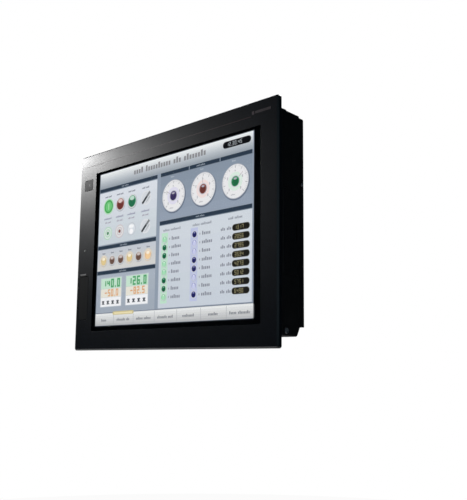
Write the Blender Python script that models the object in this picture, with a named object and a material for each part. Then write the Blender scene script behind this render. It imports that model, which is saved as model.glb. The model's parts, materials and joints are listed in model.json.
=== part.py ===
"""A 12.1 inch operator touch panel for a control cabinet, as separate parts.

Metres, +Z up. The origin is the centre of the cut-out in the cabinet's panel, in the
plane of the panel's outer face. The screen faces -Y, and +X is to the right of
someone looking at the screen. Everything at +Y is behind the cabinet's panel.
"""

import math

import bmesh
import bpy
import numpy as np
from mathutils import Matrix, Vector

OBJECT_NAME = "hmi_touch_panel"

# Driving dimensions.
GAP = 0.0003
BEZEL_SIZE = (0.316, 0.242)
BEZEL_FRONT = -0.006
BEZEL_BACK = -0.0006
BEZEL_CORNER = 0.0024
BEZEL_CHAMFER = 0.0017
CREASE_Z = 0.1060
CREASE_FALL = 0.0005
CASE_HALF_WIDTH = 0.150
CASE_LOW, CASE_HIGH = -0.109, 0.1133
RIB_HEIGHT = 0.0006
CASE_FRONT = BEZEL_BACK + GAP
CASE_BACK = 0.038
WALL = 0.0024
COVER_FRONT = CASE_BACK + GAP
COVER_BACK = 0.046
COVER_LOW, COVER_HIGH = -0.0996, 0.1110
REAR_SKIN = 0.0022

# The window in the bezel, and the display behind it.
WINDOW_CENTRE = (0.0057, -0.0017)
WINDOW_SIZE = (0.2622, 0.1934)
LIP_BACK = -0.0052
SCREEN_CENTRE = (0.0026, 0.0)
ACTIVE_SIZE = (0.2490, 0.18675)
MODULE_SIZE = (0.279, 0.209)
MODULE_FRONT, MODULE_BACK = -0.0036, 0.0068
SHEET_STEEL = 0.0004
TOUCH_Y = (-0.0049, -0.0039)
CELL_Y = (-0.0030, -0.0018)

# The boards, and the bay in the underside for the connectors.
BOARD_Y = (0.0133, 0.0149)
ON_BOARD = BOARD_Y[1] + GAP
BAY_HALF_WIDTH = 0.112
BAY_TOP = -0.080
BAY_FRONT = 0.016
SOCKET_BACK = -0.0719

# The door for the memory card, in the right wall.
DOOR_Y = (0.0126, 0.0354)
DOOR_Z = (-0.050, 0.0345)
DOOR_THICK = 0.002
DOOR_AXIS = (CASE_HALF_WIDTH - DOOR_THICK / 2, DOOR_Y[0] + DOOR_THICK / 2)
DOOR_FLOOR = 0.1456
CARD_Y = (0.0175, 0.0230)
CARD_Z = (-0.0252, 0.0184)
EJECT_Z = (0.0272, 0.0328)
ACCESS_Z = (-0.0460, -0.0364)
LED_Z = -0.0327

# Covers, buttons and screws on the back.
EXTENSION_CENTRES = ((-0.035, 0.045), (0.045, 0.045))
EXTENSION_SIZE = (0.070, 0.026)
BATTERY_CENTRE = (0.084, -0.010)
BATTERY_COVER_SIZE = (0.0434, 0.0334)
BATTERY_COVER_Y = (0.0440, COVER_BACK)
BUTTON_X = 0.040
BUTTON_Z = {"reset_button": -0.016, "mode_button": -0.034}
BUTTON_RADIUS = 0.0025
LABEL_BOX = ((-0.105, -0.031), (-0.015, 0.007))
REAR_SCREWS = ((-0.141, 0.101), (0.141, 0.101), (-0.141, -0.092), (0.141, -0.092))
BOSS_HALF = (0.0036, 0.004)
SIDE_SCREWS = ((0.017, -0.1038, 0.0028, 0.0014), (0.0421, 0.0427, 0.0017, 0.0009))
BRACKET_SLOT_X = 0.085
BRACKET_SLOT = (0.014, 0.0065, 0.0115)

# The front's small parts, in the strip to the left of the window.
USB_X = (-0.1517, -0.1343)
USB_Z = (-0.084, -0.032)
USB_COVER_THICK = 0.0012
PORT_X = -0.143
HOST_PORT = (0.0072, 0.0142, -0.0515)
DEVICE_PORT = (0.0040, 0.0078, -0.0715)
PORT_Y = (-0.0043, 0.0103)
SENSOR_X = (-0.148, -0.132)
SENSOR_Z = (0.076, 0.089)
SENSOR_EYE = (-0.1432, 0.0825)
LED_CENTRE = (-0.143, 0.001)

# Connectors in the bay, by the middle of each along X.
SOCKET_Y = 0.027
RS422_X = -0.034
RS232_X = 0.004
ETHERNET_X = 0.040
TERMINATION_X = -0.058
BLOCK_X = (-0.106, -0.070)
BLOCK_Y = (0.019, 0.035)
BLOCK_LOW = -0.099
FLAP_Y = (0.0354, 0.0368)
FLAP_AXIS = (0.0361, -0.0821)
TERMINALS = 3

# Colour, roughness and metallic value of each material.
FINISHES = {
    "black_moulding": ((0.012, 0.013, 0.016), 0.32, 0.0),
    "case_moulding": ((0.010, 0.010, 0.012), 0.5, 0.0),
    "rubber": ((0.02, 0.02, 0.02), 0.8, 0.0),
    "touch_glass": ((0.05, 0.06, 0.07), 0.08, 0.0),
    "lcd_glass": ((0.45, 0.55, 0.62), 0.15, 0.0),
    "acrylic": ((0.85, 0.9, 0.95), 0.1, 0.0),
    "lamp_glass": ((0.95, 0.95, 0.9), 0.1, 0.0),
    "white_plastic": ((0.8, 0.8, 0.78), 0.5, 0.0),
    "steel": ((0.6, 0.6, 0.62), 0.35, 1.0),
    "circuit_board": ((0.02, 0.16, 0.07), 0.45, 0.0),
    "aluminium": ((0.7, 0.7, 0.72), 0.35, 1.0),
    "grey_plastic": ((0.25, 0.26, 0.28), 0.5, 0.0),
    "connector_black": ((0.02, 0.02, 0.022), 0.45, 0.0),
    "smoked_lens": ((0.03, 0.03, 0.035), 0.12, 0.0),
    "green_lens": ((0.1, 0.7, 0.25), 0.2, 0.0),
    "clear_plastic": ((0.75, 0.78, 0.8), 0.15, 0.0),
    "label_film": ((0.65, 0.66, 0.66), 0.4, 0.0),
    "battery_sleeve": ((0.15, 0.25, 0.6), 0.4, 0.0),
}

CIRCLE = 16
OVERLAP = 0.0001


def start():
    for thing in list(bpy.data.objects):
        bpy.data.objects.remove(thing, do_unlink=True)
    groups = {}
    for name in (OBJECT_NAME, "cutters"):
        old = bpy.data.collections.get(name)
        if old is not None:
            bpy.data.collections.remove(old)
        groups[name] = bpy.data.collections.new(name)
        bpy.context.scene.collection.children.link(groups[name])
    return groups


GROUPS = start()


def finish(name):
    """The named material, made on first use."""
    old = bpy.data.materials.get(name)
    if old is not None:
        return old
    colour, roughness, metallic = FINISHES[name]
    made = bpy.data.materials.new(name)
    made.use_nodes = True
    shader = made.node_tree.nodes["Principled BSDF"]
    shader.inputs["Base Color"].default_value = (*colour, 1.0)
    shader.inputs["Roughness"].default_value = roughness
    shader.inputs["Metallic"].default_value = metallic
    return made


def from_bmesh(name, bm, material, place=(0.0, 0.0, 0.0)):
    """An object made of bm, in the part's collection, or among the cutters with no material."""
    mesh = bpy.data.meshes.new(name)
    bm.to_mesh(mesh)
    bm.free()
    thing = bpy.data.objects.new(name, mesh)
    thing.location = place
    if material is None:
        GROUPS["cutters"].objects.link(thing)
        thing.hide_render = True
        thing.display_type = "WIRE"
    else:
        mesh.materials.append(finish(material))
        GROUPS[OBJECT_NAME].objects.link(thing)
    return thing


def block(name, x, y, z, material=None):
    """A box between the two values given on each axis."""
    bm = bmesh.new()
    bmesh.ops.create_cube(bm, size=1.0)
    size = Vector((x[1] - x[0], y[1] - y[0], z[1] - z[0]))
    bmesh.ops.scale(bm, vec=size, verts=bm.verts)
    middle = ((x[0] + x[1]) / 2, (y[0] + y[1]) / 2, (z[0] + z[1]) / 2)
    return from_bmesh(name, bm, material, middle)


def blocks(name, boxes):
    """One cutter made of several boxes that don't touch."""
    bm = bmesh.new()
    for x, y, z in boxes:
        size = Matrix.Diagonal((x[1] - x[0], y[1] - y[0], z[1] - z[0], 1.0))
        middle = Vector(((x[0] + x[1]) / 2, (y[0] + y[1]) / 2, (z[0] + z[1]) / 2))
        bmesh.ops.create_cube(bm, size=1.0, matrix=Matrix.Translation(middle) @ size)
    return from_bmesh(name, bm, None)


def rod(name, axis, centre, span, radius, material=None, sides=CIRCLE):
    """A round bar along axis 0, 1 or 2, with its ends at span and centre on the other two."""
    bm = bmesh.new()
    length = span[1] - span[0]
    bmesh.ops.create_cone(
        bm, cap_ends=True, segments=sides, radius1=radius, radius2=radius, depth=length
    )
    if axis == 0:
        turn = Matrix.Rotation(math.pi / 2, 3, "Y")
    elif axis == 1:
        turn = Matrix.Rotation(math.pi / 2, 3, "X")
    else:
        turn = Matrix.Identity(3)
    bmesh.ops.rotate(bm, cent=(0, 0, 0), matrix=turn, verts=bm.verts)
    place = list(centre)
    place.insert(axis, (span[0] + span[1]) / 2)
    thing = from_bmesh(name, bm, material, place)
    thing.data.shade_smooth()
    thing.data.set_sharp_from_angle(angle=math.radians(50))
    return thing


def prism(name, outline, x):
    """A cutter with a flat outline of (y, z) points, drawn between two values of x."""
    curve = bpy.data.curves.new(name, "CURVE")
    curve.dimensions = "2D"
    curve.fill_mode = "BOTH"
    curve.extrude = (x[1] - x[0]) / 2
    line = curve.splines.new("POLY")
    line.points.add(len(outline) - 1)
    for point, (y, z) in zip(line.points, outline):
        point.co = (y, z, 0.0, 1.0)
    line.use_cyclic_u = True
    drawn = bpy.data.objects.new(name, curve)
    bpy.context.scene.collection.objects.link(drawn)
    upright = Matrix(((0, 0, 1, 0), (1, 0, 0, 0), (0, 1, 0, 0), (0, 0, 0, 1)))
    drawn.matrix_world = Matrix.Translation(((x[0] + x[1]) / 2, 0, 0)) @ upright
    bpy.context.view_layer.update()
    seen = drawn.evaluated_get(bpy.context.evaluated_depsgraph_get())
    bm = bmesh.new()
    bm.from_mesh(bpy.data.meshes.new_from_object(seen))
    bmesh.ops.remove_doubles(bm, verts=bm.verts, dist=0.00001)
    made = from_bmesh(name + "_solid", bm, None)
    made.matrix_world = drawn.matrix_world.copy()
    bpy.data.objects.remove(drawn, do_unlink=True)
    return made


def edit(piece, change):
    bm = bmesh.new()
    bm.from_mesh(piece.data)
    change(bm)
    bm.to_mesh(piece.data)
    bm.free()


def round_along(piece, axis, radius, steps=3):
    """Rounds the edges that run along an axis."""

    def change(bm):
        chosen = []
        for edge in bm.edges:
            run = edge.verts[0].co - edge.verts[1].co
            others = [abs(run[i]) for i in range(3) if i != axis]
            if max(others) < OVERLAP:
                chosen.append(edge)
        bmesh.ops.bevel(
            bm, geom=chosen, offset=radius, segments=steps, profile=0.5, affect="EDGES"
        )

    edit(piece, change)
    return piece


def round_face(piece, axis, side, radius, steps=2, near=None):
    """Rounds the edges of the face at the low (-1) or high (1) end of an axis.

    near is a second axis and end, to round only the edges that both faces share.
    """

    def change(bm):
        ends = [(axis, side)]
        if near is not None:
            ends.append(near)
        chosen = set(bm.edges)
        for along, end in ends:
            level = max(end * vert.co[along] for vert in bm.verts)
            chosen = {
                edge
                for edge in chosen
                if all(abs(end * vert.co[along] - level) < 0.00001 for vert in edge.verts)
            }
        bmesh.ops.bevel(
            bm, geom=list(chosen), offset=radius, segments=steps, profile=0.5, affect="EDGES"
        )

    edit(piece, change)
    return piece


def combine(piece, operation, others):
    for other in others:
        step = piece.modifiers.new(other.name, "BOOLEAN")
        step.operation = operation
        step.solver = "EXACT"
        step.object = other
    return piece


def cut(piece, *cutters):
    return combine(piece, "DIFFERENCE", cutters)


def join(piece, *others):
    return combine(piece, "UNION", others)


def turn_about(piece, point):
    """Moves a piece's origin to a point on its joint's axis, leaving the piece where it is."""
    shift = Vector(piece.location) - Vector(point)
    piece.data.transform(Matrix.Translation(shift))
    piece.location = point
    return piece


def about(centre, size):
    return (centre - size / 2, centre + size / 2)


def grow(span, by):
    return (span[0] - by, span[1] + by)


def frame(name, outer, inner, y, material=None, corner=0.0):
    """A flat ring: outer and inner are each a pair of x and z spans."""
    ring = block(name, outer[0], y, outer[1], material)
    if corner > 0:
        round_along(ring, 1, corner)
    hole = block(name + "_hole", inner[0], grow(y, 0.001), inner[1])
    if corner > 0:
        round_along(hole, 1, corner - (outer[0][1] - inner[0][1]) / 2)
    return cut(ring, hole)


# The front: bezel, seal, touch glass, USB cover, sensor window and lamp.

GASKET_OUTER = (about(0, 0.3112), about(0, 0.2372))
GASKET_INNER = (about(0, 0.3052), about(0, 0.2312))


def front_bezel():
    bezel = block(
        "front_bezel",
        about(0, BEZEL_SIZE[0]),
        (BEZEL_FRONT, BEZEL_BACK),
        about(0, BEZEL_SIZE[1]),
        "black_moulding",
    )
    round_along(bezel, 1, BEZEL_CORNER, 3)
    round_face(bezel, 1, -1, BEZEL_CHAMFER, 1)
    # Above the crease the front falls back a little towards the top edge.
    high = BEZEL_SIZE[1] / 2 + 0.001
    slope = [
        (BEZEL_FRONT, CREASE_Z),
        (BEZEL_FRONT - 0.001, CREASE_Z),
        (BEZEL_FRONT - 0.001, high),
        (BEZEL_FRONT + CREASE_FALL, high),
    ]
    cut(bezel, prism("slope_cutter", slope, about(0, BEZEL_SIZE[0] + 0.002)))
    window = block(
        "window_cutter",
        about(WINDOW_CENTRE[0], WINDOW_SIZE[0]),
        (BEZEL_FRONT - 0.001, LIP_BACK + 0.001),
        about(WINDOW_CENTRE[1], WINDOW_SIZE[1]),
    )
    round_along(window, 1, 0.0012, 2)
    glass_seat = block(
        "glass_seat_cutter",
        grow(about(WINDOW_CENTRE[0], WINDOW_SIZE[0] + 0.006), GAP),
        (LIP_BACK, 0.001),
        grow(about(WINDOW_CENTRE[1], WINDOW_SIZE[1] + 0.0058), GAP),
    )
    module_seat = block(
        "module_seat_cutter",
        grow(about(SCREEN_CENTRE[0], MODULE_SIZE[0]), GAP),
        (MODULE_FRONT - GAP, 0.001),
        grow(about(SCREEN_CENTRE[1], MODULE_SIZE[1]), GAP),
    )
    groove = frame(
        "gasket_groove",
        tuple(grow(span, GAP) for span in GASKET_OUTER),
        tuple(grow(span, -GAP) for span in GASKET_INNER),
        (BEZEL_BACK - 0.0011, 0.001),
        None,
        0.0045,
    )
    usb_seat = block(
        "usb_seat_cutter",
        grow(USB_X, GAP),
        (BEZEL_FRONT - 0.001, BEZEL_FRONT + USB_COVER_THICK + 0.0002),
        grow(USB_Z, GAP),
    )
    round_along(usb_seat, 1, 0.0012, 2)
    scoop = block("scoop_cutter", (-0.1500, -0.1362), about(0, 0.0024), about(0, 0.0024))
    scoop.rotation_euler = (math.radians(45), 0, 0)
    scoop.location = (scoop.location[0], BEZEL_FRONT, USB_Z[1] + 0.0004)
    ports = blocks(
        "port_window_cutter",
        [
            (about(PORT_X, wide + 0.0008), (BEZEL_FRONT, 0.001), about(middle, tall + 0.0008))
            for wide, tall, middle in (HOST_PORT, DEVICE_PORT)
        ],
    )
    sensor_seat = block(
        "sensor_seat_cutter",
        grow(SENSOR_X, GAP),
        (BEZEL_FRONT - 0.001, BEZEL_FRONT + 0.0014),
        grow(SENSOR_Z, GAP),
    )
    round_along(sensor_seat, 1, 0.001, 2)
    eye = rod("eye_cutter", 1, SENSOR_EYE, (BEZEL_FRONT, 0.001), 0.0040)
    lamp = block(
        "lamp_cutter",
        about(LED_CENTRE[0], 0.0050),
        (BEZEL_FRONT - 0.001, 0.001),
        about(LED_CENTRE[1], 0.0024),
    )
    cut(bezel, window, glass_seat, module_seat, groove, usb_seat, scoop, ports)
    return cut(bezel, sensor_seat, eye, lamp)


def front_small_parts():
    seal_y = (BEZEL_BACK - 0.0008, 0.0)
    frame("panel_gasket", GASKET_OUTER, GASKET_INNER, seal_y, "rubber", 0.0042)
    touch = block(
        "touch_panel",
        about(WINDOW_CENTRE[0], WINDOW_SIZE[0] + 0.006),
        TOUCH_Y,
        about(WINDOW_CENTRE[1], WINDOW_SIZE[1] + 0.0058),
        "touch_glass",
    )
    round_along(touch, 1, 0.001, 2)
    cover = block(
        "usb_cover", USB_X, (BEZEL_FRONT, BEZEL_FRONT + USB_COVER_THICK), USB_Z, "rubber"
    )
    round_along(cover, 1, 0.001, 2)
    turn_about(cover, (sum(USB_X) / 2, BEZEL_FRONT, USB_Z[0]))
    lens = block(
        "sensor_lens", SENSOR_X, (BEZEL_FRONT, BEZEL_FRONT + 0.0011), SENSOR_Z, "smoked_lens"
    )
    round_along(lens, 1, 0.0008, 2)
    rod("presence_sensor", 1, SENSOR_EYE, (-0.0044, 0.004), 0.0036, "steel")
    lamp = block(
        "power_led",
        about(LED_CENTRE[0], 0.0044),
        (BEZEL_FRONT, 0.003),
        about(LED_CENTRE[1], 0.0018),
        "green_lens",
    )
    round_along(lamp, 1, 0.0004, 1)


def usb_port(name, size, hood):
    """A socket that faces the front, with the tongue that holds its contacts."""
    wide, tall, middle = size
    shell = block(name, about(PORT_X, wide), PORT_Y, about(middle, tall), "steel")
    mouth = block(
        name + "_mouth",
        about(PORT_X, wide - 2 * hood),
        (PORT_Y[0] - 0.001, 0.005),
        about(middle, tall - 2 * hood),
    )
    tongue_x = (PORT_X + wide / 2 - hood - 0.33 * (wide - 2 * hood), PORT_X + wide / 2 - hood + OVERLAP)
    tongue = block(
        name + "_tongue", tongue_x, (PORT_Y[0] + 0.001, 0.006), about(middle, 0.8 * (tall - 2 * hood))
    )
    cut(shell, mouth)
    join(shell, tongue)


def usb_parts():
    usb_port("usb_host_port", HOST_PORT, 0.0007)
    usb_port("usb_device_port", DEVICE_PORT, 0.0005)
    block("usb_board", (-0.1472, -0.1386), (0.0106, 0.0122), (-0.080, -0.038), "circuit_board")


# The display module.


def display_module():
    middle_x, middle_z = SCREEN_CENTRE
    wide, tall = MODULE_SIZE
    shell = block(
        "lcd_frame",
        about(middle_x, wide),
        (MODULE_FRONT, MODULE_BACK),
        about(middle_z, tall),
        "steel",
    )
    view = block(
        "lcd_view_cutter",
        about(middle_x, ACTIVE_SIZE[0] + 0.0032),
        (MODULE_FRONT - 0.001, MODULE_BACK),
        about(middle_z, ACTIVE_SIZE[1] + 0.0033),
    )
    hollow = block(
        "lcd_hollow_cutter",
        about(middle_x, wide - 0.0016),
        (MODULE_FRONT + SHEET_STEEL, MODULE_BACK + 0.001),
        about(middle_z, tall - 0.0016),
    )
    cut(shell, view, hollow)
    block("lcd_glass", about(middle_x, 0.266), CELL_Y, about(middle_z, 0.197), "lcd_glass")
    tray_y = (CELL_Y[1] + GAP, MODULE_BACK - GAP)
    tray = block(
        "backlight_housing",
        about(middle_x, wide - 0.0022),
        tray_y,
        about(middle_z, tall - 0.0022),
        "white_plastic",
    )
    tray_hollow = block(
        "tray_cutter",
        about(middle_x, wide - 0.0042),
        (tray_y[0] - 0.001, tray_y[1] - 0.0012),
        about(middle_z, tall - 0.0042),
    )
    cut(tray, tray_hollow)
    guide_y = (tray_y[0], tray_y[0] + 0.0058)
    block("light_guide", about(middle_x, 0.262), guide_y, about(middle_z, 0.194), "acrylic")
    for name, side in (("backlight_lamp_top", 1), ("backlight_lamp_bottom", -1)):
        place = (0.0014, middle_z + side * 0.0996)
        rod(name, 0, place, about(middle_x, 0.260), 0.0012, "lamp_glass", 10)


# The chassis and the boards inside.

STANDOFFS = (
    (-0.060, -0.060),
    (-0.060, 0.070),
    (0.120, -0.060),
    (0.120, 0.070),
    (-0.132, -0.062),
    (-0.086, 0.022),
    (-0.132, 0.072),
    (-0.086, 0.050),
)


def chassis():
    plate = block("lcd_bracket", (-0.138, 0.143), (0.0071, 0.0083), (-0.103, 0.104), "steel")
    for number, place in enumerate(STANDOFFS):
        post = rod(f"standoff_{number}", 1, place, (0.0080, BOARD_Y[0] - GAP), 0.003, None, 8)
        join(plate, post)


def board(name, x, z, parts):
    """A circuit board with its tallest parts: each part has x, z, and a height."""
    plate = block(name, x, BOARD_Y, z, "circuit_board")
    for number, (part_x, part_z, height) in enumerate(parts):
        stands = (BOARD_Y[1] - OVERLAP, BOARD_Y[1] + height)
        join(plate, block(f"{name}_part_{number}", part_x, stands, part_z))
    return plate


def boards():
    switches = [
        (about(BUTTON_X, 0.006), about(place, 0.006), 0.0041) for place in BUTTON_Z.values()
    ]
    memory = [(about(-0.055, 0.012), about(-0.048 + 0.020 * row, 0.014), 0.0012) for row in range(4)]
    processor = [(about(-0.010, 0.030), about(-0.012, 0.030), 0.0030)]
    board("main_board", (-0.072, 0.132), (-0.070, 0.078), processor + memory + switches)
    power = board(
        "power_board",
        (-0.140, -0.078),
        (-0.070, 0.030),
        [
            ((-0.134, -0.108), (-0.030, -0.008), 0.016),
            ((-0.134, -0.110), (0.004, 0.014), 0.012),
            ((-0.092, -0.084), (-0.062, -0.042), 0.010),
        ],
    )
    for number, place in enumerate(((-0.096, -0.020), (-0.096, -0.002))):
        can = rod(
            f"capacitor_{number}", 1, place, (BOARD_Y[1] - OVERLAP, BOARD_Y[1] + 0.018), 0.006, None, 12
        )
        join(power, can)
    board(
        "inverter_board",
        (-0.140, -0.078),
        (0.042, 0.078),
        [(about(x, 0.014), about(0.058, 0.010), 0.008) for x in (-0.124, -0.100)],
    )


def heatsink():
    low, high = ON_BOARD + 0.0030, 0.034
    sink = block("cpu_heatsink", (-0.038, 0.018), (low, high), (-0.040, 0.016), "aluminium")
    pitch = 0.007
    channels = [
        (about(-0.010 + pitch * step, 0.0048), (low + 0.003, high + 0.001), (-0.041, 0.017))
        for step in np.arange(-3.5, 4.0, 1.0)
    ]
    cut(sink, blocks("heatsink_channels", channels))


def buzzer():
    body = rod("buzzer", 1, (0.105, 0.062), (ON_BOARD, 0.0222), 0.007, "connector_black")
    cut(body, rod("buzzer_hole", 1, (0.105, 0.062), (0.0205, 0.023), 0.0015, None, 8))


# The housing: middle case and rear cover.


def bay(name, grown, y):
    return block(
        name,
        about(0, 2 * (BAY_HALF_WIDTH + grown)),
        y,
        (CASE_LOW - 0.001, BAY_TOP + grown),
    )


def bosses(name, y):
    return blocks(
        name,
        [
            (
                (min(side * 0.1370, side * 0.1480), max(side * 0.1370, side * 0.1480)),
                y,
                about(high, 2 * BOSS_HALF[1]),
            )
            for side, high in ((math.copysign(1, x), z) for x, z in REAR_SCREWS)
        ],
    )


def screw_holes(name, y, radius):
    return [
        rod(f"{name}_{number}", 1, place, y, radius, None, 12)
        for number, place in enumerate(REAR_SCREWS)
    ]


def side_screw_holes(name, row):
    """The stepped holes for one row of side screws, right and left."""
    along, high, head, shank = SIDE_SCREWS[row]
    made = []
    for side in (-1, 1):
        wide = sorted((side * (CASE_HALF_WIDTH - 0.0010), side * (CASE_HALF_WIDTH + 0.001)))
        narrow = sorted((side * 0.146, side * (CASE_HALF_WIDTH + 0.001)))
        made.append(rod(f"{name}_wide_{side}", 0, (along, high), wide, head + GAP, None, 12))
        made.append(rod(f"{name}_narrow_{side}", 0, (along, high), narrow, shank + 0.0002, None, 12))
    return made


def connector_windows():
    """Holes through the ceiling of the bay, one for each connector."""
    through = (BAY_TOP - 0.001, BAY_TOP + WALL + 0.001)
    return blocks(
        "connector_windows",
        [
            (about(RS422_X, 0.0202), about(SOCKET_Y, 0.0112), through),
            (about(RS232_X, 0.0202), about(SOCKET_Y, 0.0112), through),
            (about(ETHERNET_X, 0.0166), about(SOCKET_Y, 0.0146), through),
            (about(TERMINATION_X, 0.0080), about(SOCKET_Y, 0.0030), through),
        ],
    )


def door_cutters():
    """The recess behind the card door, and what opens in its floor."""
    outside = CASE_HALF_WIDTH + 0.001
    floor = (DOOR_FLOOR - WALL - 0.001, DOOR_FLOOR + 0.001)
    recess = block("door_recess", (DOOR_FLOOR, outside), grow(DOOR_Y, 0.00035), grow(DOOR_Z, 0.0004))
    floor_holes = blocks(
        "door_floor_holes",
        [
            (floor, grow(CARD_Y, 0.0001), grow(CARD_Z, 0.0001)),
            (floor, (0.0177, 0.0227), grow(EJECT_Z, GAP)),
            (floor, (0.0179, 0.0223), ACCESS_Z),
        ],
    )
    light = rod("door_light_hole", 0, (0.0202, LED_Z), floor, 0.0014, None, 10)
    pins = rod("door_pin_holes", 2, DOOR_AXIS, grow(DOOR_Z, 0.0020), 0.0008, None, 10)
    return [recess, floor_holes, light, pins]


def middle_case():
    toe_low, toe_high = CASE_LOW - 0.0002, COVER_LOW + 0.0001
    toe = [(0.0335, toe_low), (0.0385, toe_low), (0.0385, toe_high)]
    toe_wall = [(0.0307, CASE_LOW), (0.0390, CASE_LOW), (0.0390, toe_high + 0.0062)]
    case = block(
        "middle_case",
        about(0, 2 * CASE_HALF_WIDTH),
        (CASE_FRONT, CASE_BACK),
        (CASE_LOW, CASE_HIGH),
        "case_moulding",
    )
    round_along(case, 1, 0.0015, 2)
    for side in (-1, 1):
        rib_x = sorted((side * 0.118, side * (CASE_HALF_WIDTH - 0.0008)))
        rib = block(f"rib_{side}", rib_x, (0.0003, 0.018), (CASE_HIGH - 0.001, CASE_HIGH + RIB_HEIGHT))
        join(case, rib)
    hollow = block(
        "case_hollow",
        about(0, 2 * (CASE_HALF_WIDTH - WALL)),
        (CASE_FRONT - 0.001, CASE_BACK + 0.001),
        (CASE_LOW + WALL, CASE_HIGH - WALL),
    )
    door_wall = block(
        "door_wall", (DOOR_FLOOR - WALL + 0.0002, 0.1485), grow(DOOR_Y, WALL), grow(DOOR_Z, WALL)
    )
    cut(
        hollow,
        bay("bay_wall", WALL, (BAY_FRONT - WALL, CASE_BACK + 0.002)),
        door_wall,
        bosses("case_bosses", (0.024, CASE_BACK + 0.002)),
        prism("toe_wall", toe_wall, about(0, 0.31)),
    )
    cut(case, hollow, bay("bay", 0.0, (BAY_FRONT, CASE_BACK + 0.001)), prism("toe", toe, about(0, 0.31)))
    cut(case, connector_windows(), *door_cutters())
    vents = [
        (about(0.011 * step, 0.003), (0.022, 0.033), (CASE_HIGH - WALL - 0.001, CASE_HIGH + 0.001))
        for step in range(-9, 10)
    ]
    wide, front, back = BRACKET_SLOT
    slots = [
        (about(side * BRACKET_SLOT_X, wide), (front, back), grow((level, level), WALL + 0.001))
        for side in (-1, 1)
        for level in (CASE_LOW, CASE_HIGH)
    ]
    cut(case, blocks("case_vents", vents), blocks("bracket_slots", slots))
    cut(case, *side_screw_holes("case_side_hole", 0))
    return cut(case, *screw_holes("case_screw_hole", (0.029, CASE_BACK + 0.001), 0.0016))


def louvres():
    rows = ((0.070, 0.098), (-0.068, -0.044))
    return blocks(
        "louvres",
        [
            (about(0.011 * step, 0.0032), (COVER_BACK - REAR_SKIN - 0.001, COVER_BACK + 0.001), row)
            for row in rows
            for step in range(-11, 12)
        ],
    )


def rear_cover():
    skin = (COVER_BACK - REAR_SKIN - 0.001, COVER_BACK + 0.001)
    cover = block(
        "rear_cover",
        about(0, 2 * CASE_HALF_WIDTH),
        (COVER_FRONT, COVER_BACK),
        (COVER_LOW, COVER_HIGH),
        "case_moulding",
    )
    round_face(cover, 1, 1, 0.0012, 2)
    hollow = block(
        "cover_hollow",
        about(0, 2 * (CASE_HALF_WIDTH - WALL)),
        (COVER_FRONT - 0.001, COVER_BACK - REAR_SKIN),
        (COVER_LOW + WALL, COVER_HIGH - WALL),
    )
    cut(
        hollow,
        bay("cover_bay_wall", WALL, (COVER_FRONT - 0.002, COVER_BACK + 0.001)),
        bosses("cover_bosses", (COVER_FRONT - 0.002, COVER_BACK)),
    )
    windows = [
        (about(x, EXTENSION_SIZE[0] + 0.0006), skin, about(z, EXTENSION_SIZE[1] + 0.0006))
        for x, z in EXTENSION_CENTRES
    ]
    windows.append(
        (
            about(BATTERY_CENTRE[0], BATTERY_COVER_SIZE[0] + 0.0006),
            skin,
            about(BATTERY_CENTRE[1], BATTERY_COVER_SIZE[1] + 0.0006),
        )
    )
    low, high = LABEL_BOX
    windows.append(
        (
            grow((low[0], high[0]), GAP),
            (COVER_BACK - 0.0005, COVER_BACK + 0.001),
            grow((low[1], high[1]), GAP),
        )
    )
    cut(cover, hollow, bay("cover_bay", 0.0, grow((COVER_FRONT, COVER_BACK), 0.001)))
    cut(cover, blocks("rear_windows", windows), louvres())
    for name, z in BUTTON_Z.items():
        cut(cover, rod(name + "_hole", 1, (BUTTON_X, z), skin, BUTTON_RADIUS + 0.0003, None, 12))
    cut(cover, *screw_holes("cover_shank_hole", grow((COVER_FRONT, COVER_BACK), 0.001), 0.0017))
    cut(cover, *screw_holes("cover_head_hole", (COVER_BACK - 0.0018, COVER_BACK + 0.001), 0.0032))
    cut(cover, *side_screw_holes("cover_side_hole", 1))
    battery_axis = (BATTERY_COVER_Y[0] + 0.001, BATTERY_CENTRE[1] - BATTERY_COVER_SIZE[1] / 2 + 0.001)
    pins = about(BATTERY_CENTRE[0], BATTERY_COVER_SIZE[0] + 0.0034)
    return cut(cover, rod("battery_pin_holes", 0, battery_axis, pins, 0.00072, None, 10))


def screw(name, axis, centre, head, shank_end, head_radius, shank_radius):
    """A pan head screw: head is the span of its head, which is cross recessed."""
    piece = rod(name, axis, centre, sorted(head), head_radius, "steel")
    height = head[1] - head[0]
    shank_span = sorted((head[0] + 0.3 * height, shank_end))
    join(piece, rod(name + "_shank", axis, centre, shank_span, shank_radius, None, 10))
    deep = head[1] - 0.5 * height
    past = head[1] + height
    for number, (long, thin) in enumerate(((1.1, 0.3), (0.3, 1.1))):
        spans = [about(centre[0], long * head_radius), about(centre[1], thin * head_radius)]
        spans.insert(axis, tuple(sorted((deep, past))))
        cut(piece, block(f"{name}_recess_{number}", *spans))
    return piece


def case_screws():
    for number, place in enumerate(REAR_SCREWS, 1):
        head = (COVER_BACK - 0.0015, COVER_BACK - 0.0001)
        screw(f"rear_screw_{number}", 1, place, head, 0.0295, 0.0029, 0.0014)
    number = 1
    for along, high, head_radius, shank_radius in SIDE_SCREWS:
        for side in (-1, 1):
            head = (side * (CASE_HALF_WIDTH - 0.0008), side * (CASE_HALF_WIDTH + 0.0006))
            place = (along, high)
            end = side * 0.1440
            screw(f"side_screw_{number}", 0, place, head, end, head_radius, shank_radius)
            number += 1


# What is behind the card door.


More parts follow.
